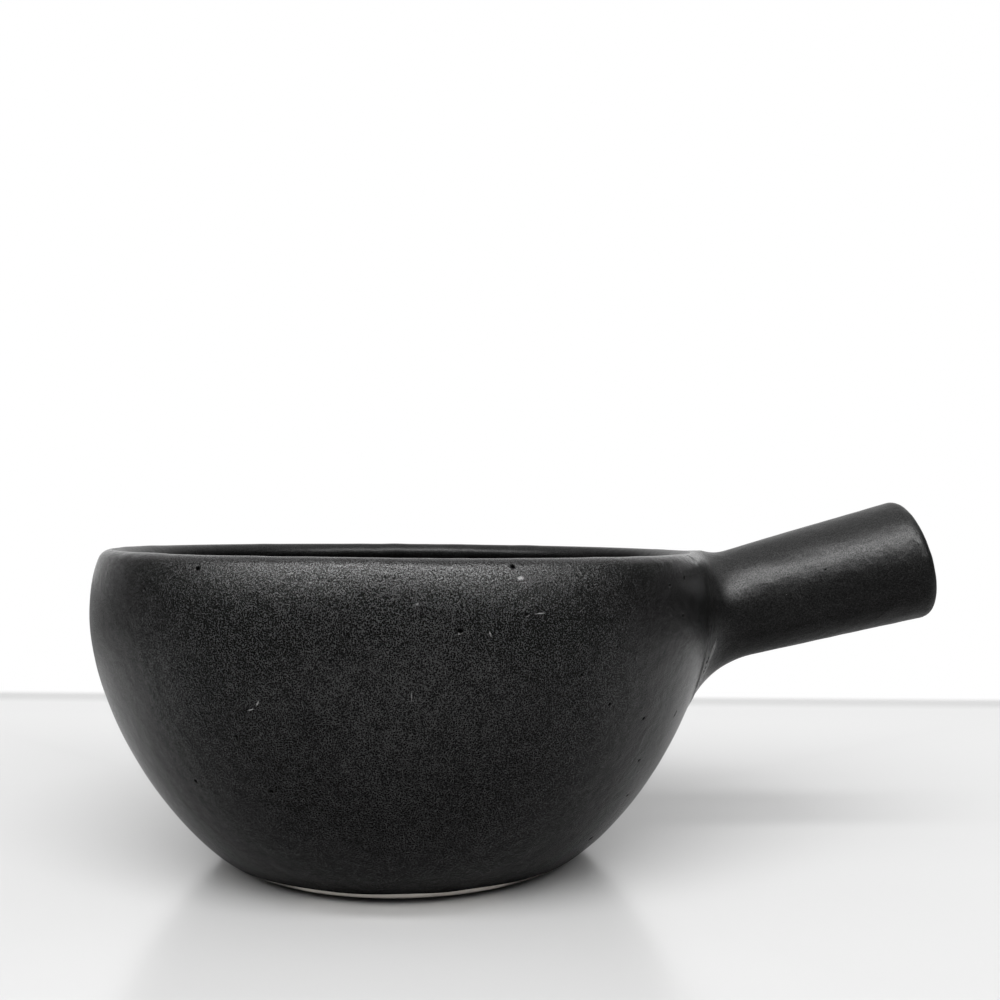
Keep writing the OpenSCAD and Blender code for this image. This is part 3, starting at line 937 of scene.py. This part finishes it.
# Clay bowl: one closed outline from the middle of the underside to the middle of the floor
clay_lengths = graded(clay_outline, pole_gap, clay_outline[-1, 0] - pole_gap)
clay_angles = 2 * math.pi * np.arange(clay_columns) / clay_columns
clay_length_grid, clay_angle_grid = np.broadcast_arrays(clay_lengths[None], clay_angles[:, None])
turning_pitch, turning_depth, turning_margin, turning_ease = 2.6, 0.1, 6, 4
turning = turning_depth * np.clip((ring_r - turning_margin - clay_lengths) / turning_ease, 0, 1)
clay_raised = turning * (np.sin(2 * math.pi * clay_length_grid / turning_pitch + clay_angle_grid) - 1)
clay_points = turned(clay_outline, clay_angle_grid, clay_length_grid, clay_raised)
clay_ids = np.arange(clay_length_grid.size).reshape(clay_length_grid.shape)
under_pole, floor_pole = clay_ids.size, clay_ids.size + 1
clay_points = warped(np.vstack([clay_points.reshape(-1, 3), [[0, 0, foot_hollow], [0, 0, floor_z]]]))
clay_faces = np.vstack(
    [quads(clay_ids).reshape(-1, 4), fan(clay_ids[::-1, 0], under_pole), fan(clay_ids[:, -1], floor_pole)]
)
piece("bowl_clay", clay, "stoneware_clay", ["bowl_body"], clay_points, clay_faces)

# Clay handle: a closed section, carried round the axis and cut to a saddle where it meets the bowl
tube_columns = 160
tube_a = 2 * math.pi * np.arange(tube_columns) / tube_columns
tube_edge = arc((end_edge_q, end_edge_s), end_edge_r - glaze_t, -flare, 90)
tube_mouth = arc((bore_r + mouth_edge_r, end_s - mouth_edge_r), mouth_edge_r, 90, 180)
tube_outline = joined(
    straight((handle_r(joint_end_s) - glaze_t, joint_end_s), tube_edge[0, :2]),
    tube_edge,
    tube_mouth,
    straight((bore_r, end_s - mouth_edge_r), (bore_r, joint_end_s)),
)
tube_step = 1
tube_lengths = np.linspace(0, tube_outline[-1, 0], int(tube_outline[-1, 0] / tube_step))
tube_q, tube_s = point_on(tube_outline, tube_lengths, 0)

# Throwing rings in the bore
bore_pitch, bore_depth, bore_run, bore_ease = 5, 0.12, 50, 5
in_bore = np.clip((tube_lengths - tube_lengths[-1] + bore_run) / bore_ease, 0, 1)
tube_q = tube_q + in_bore * bore_depth * (1 - np.cos(2 * math.pi * tube_s / bore_pitch))
tube_body = about_axis(tube_s[None], tube_q[None], tube_a[:, None])
seat_gap = 0.05
outer_seat = seat(handle_r(0) - glaze_t, taper, tube_a, seat_gap)
bore_seat = seat(np.full(tube_columns, bore_r), 0, tube_a, seat_gap)
tube_points = np.concatenate([outer_seat[:, None], tube_body, bore_seat[:, None]], 1)
tube_ids = np.arange(tube_points[..., 0].size).reshape(tube_points.shape[:2])
tube_faces = quads(tube_ids, closed=True).reshape(-1, 4)
tube_points = tube_points.reshape(-1, 3)
piece("handle_clay", clay, "stoneware_clay", ["handle_tube"], tube_points, tube_faces)

# The luting coil keeps its CAD shape, which the coats cover
coil = frame["nodes"]["joint_coil"]
coil.data.materials.clear()
coil.data.materials.append(clay)

# Pale table with a straight far edge, white surroundings beyond it. Over each pair's stretch, outwards, it
# grows paler, loses that again and turns white. The last pair, front to back, is for its tone in reflections.
table_half = 3
table_z = -0.1 * MM
table_cloud_mm = 160
table_narrow = 0.85
table_paler, paler_most = (0.06, 0.24), 0.46
table_line = (0.27, 0.294)
table_edge = (0.298, 0.318)
table_dim = (-0.12, 0.05)
dim_table, far_table = 0.23, 0.56


def pale_laminate_table():
    """Smooth white laminate: plain and pale, with a soft mirror of what stands on it at a low angle.

    The camera sees white beyond its far edge. In reflections its front and far parts are as dim as the room.
    """
    material, tree, shader, place = new_material("pale_laminate_table")
    cloud = add(tree, "TexNoise", {"Vector": place, "Scale": 1 / (table_cloud_mm * MM), "Detail": 2})
    tint = add(tree, "Mix", {0: cloud, 6: linear("#e0e0e0"), 7: linear("#e5e5e5")}, **colours)
    tree.links.new(tint, shader.inputs["Base Color"])
    shader.inputs["Roughness"].default_value = 0.2
    shader.inputs["Specular IOR Level"].default_value = 0.9
    position = add(tree, "SeparateXYZ", [place], None)
    wide = add(tree, "Math", [position["X"], table_narrow], operation="MULTIPLY")
    wide = add(tree, "Math", [wide], operation="ABSOLUTE")
    deep = add(tree, "Math", [position["Y"]], operation="ABSOLUTE")
    far = add(tree, "Math", [wide, deep], operation="MAXIMUM")
    paler = add(tree, "MapRange", [far, *table_paler, 0, paler_most], **soft)
    line = add(tree, "MapRange", [far, *table_line, 1, 0], **soft)
    paler = add(tree, "Math", [paler, line], operation="MULTIPLY")
    beyond = add(tree, "MapRange", [far, *table_edge, 0, 1], **soft)
    paler = add(tree, "Math", [paler, beyond], operation="MAXIMUM")
    rays = add(tree, "LightPath", want=None)
    seen = add(tree, "Math", [rays["Is Camera Ray"], rays["Is Transmission Ray"]], operation="MAXIMUM")
    shown = add(tree, "Math", [paler, seen], operation="MULTIPLY")
    white = add(tree, "Emission", [linear("#ffffff"), 1])
    mixed = add(tree, "MixShader", [shown, shader.outputs[0], white])
    dim = add(tree, "MapRange", [position["Y"], *table_dim, 1 - dim_table, 0], **soft)
    far_dim = add(tree, "MapRange", [far, table_paler[1], table_edge[1], 0, 1 - far_table], **soft)
    dim = add(tree, "Math", [dim, far_dim], operation="MAXIMUM")
    dim = add(tree, "Math", [dim, rays["Is Glossy Ray"]], operation="MULTIPLY")
    mixed = add(tree, "MixShader", [dim, mixed])
    tree.links.new(mixed, tree.nodes["Material Output"].inputs["Surface"])
    return material


table_mesh = bpy.data.meshes.new("table")
table_corners = [(i * table_half, j * table_half, table_z) for i, j in ((-1, -1), (1, -1), (1, 1), (-1, 1))]
table_mesh.from_pydata(table_corners, [], [(0, 1, 2, 3)])
table_mesh.materials.append(pale_laminate_table())
table = bpy.data.objects.new("table", table_mesh)
scene.collection.objects.link(table)

# White surroundings at full strength to the eye. In reflections they are a white wall behind the table, a
# pale ceiling and a dim room on the other sides, and as light on matt surfaces they are even and low.
ambient = 0.1
dim_room, pale_ceiling = 0.05, 0.75
wall_range, ceiling_range = (0.45, 0.95), (0.4, 0.8)
world = bpy.data.worlds.new("white_studio")
scene.world = world
world.use_nodes = True
sky = world.node_tree
rays = add(sky, "LightPath", want=None)
direction = add(sky, "TexCoord", want="Generated")
towards = add(sky, "SeparateXYZ", [direction], None)
behind = add(sky, "MapRange", [towards["Y"], *wall_range, dim_room, 1], **soft)
ceiling = add(sky, "MapRange", [towards["Z"], *ceiling_range, dim_room, pale_ceiling], **soft)
mirrored = add(sky, "Math", [behind, ceiling], operation="MAXIMUM")
mirror = add(sky, "Math", [rays["Is Glossy Ray"], rays["Is Transmission Ray"]], operation="MAXIMUM")
strength = add(sky, "Mix", {0: mirror, 2: ambient, 3: mirrored})
strength = add(sky, "Mix", {0: rays["Is Camera Ray"], 2: strength, 3: 1.0})
sky.nodes["Background"].inputs["Color"].default_value = linear("#ffffff")
sky.links.new(strength, sky.nodes["Background"].inputs["Strength"])

# A low fill in front gives most of the light, and a broad panel overhead a little. The handle's shadow falls
# 56 mm behind it, sharp from front to back and soft from side to side, so the lamp that casts it is long and
# narrow. A wide window is only there to be seen in the glaze, as the sheen along the shoulder.
light_distance = 1.2
light_target = np.array([-0.03, 0, 0.06])
for name, steepness, wide, tall, watts, on_matt, in_glaze in (
    ("ceiling_panel", 75, 2, 0.6, 2.5, True, False),
    ("long_lamp", 57.5, 1.2, 0.16, 8, True, False),
    ("front_fill", 40, 2, 0.4, 13.5, True, False),
    ("wide_window", 51, 2.8, 0.32, 33, False, True),
):
    lamp = bpy.data.lights.new(name, "AREA")
    lamp.shape = "RECTANGLE"
    lamp.size, lamp.size_y, lamp.energy = wide, tall, watts
    light = bpy.data.objects.new(name, lamp)
    rise = math.radians(steepness)
    spot = light_target + light_distance * np.array([0, -math.cos(rise), math.sin(rise)])
    light.matrix_world = Matrix.Translation(spot) @ Matrix.Rotation(math.pi / 2 - rise, 4, "X")
    light.visible_diffuse, light.visible_glossy = on_matt, in_glaze
    scene.collection.objects.link(light)

# Camera, fitted to the bowl's outline, with its turns in degrees
camera_at = (0.02944, -0.35092, 0.10185)
camera_rise, camera_roll, camera_bearing = 1.31, 0.33, 0.82
lens_mm, sensor_mm = 39.6, 36
view = bpy.data.cameras.new("camera")
view.lens, view.sensor_width = lens_mm, sensor_mm
camera = bpy.data.objects.new("camera", view)
pitch = Matrix.Rotation(math.radians(90 + camera_rise), 4, "X")
roll = Matrix.Rotation(math.radians(camera_roll), 4, "Z")
bearing = Matrix.Rotation(math.radians(camera_bearing), 4, "Z")
camera.matrix_world = bearing @ Matrix.Translation(camera_at) @ (pitch @ roll)
scene.collection.objects.link(camera)
scene.camera = camera
scene.view_settings.view_transform = "Standard"

bpy.context.view_layer.update()
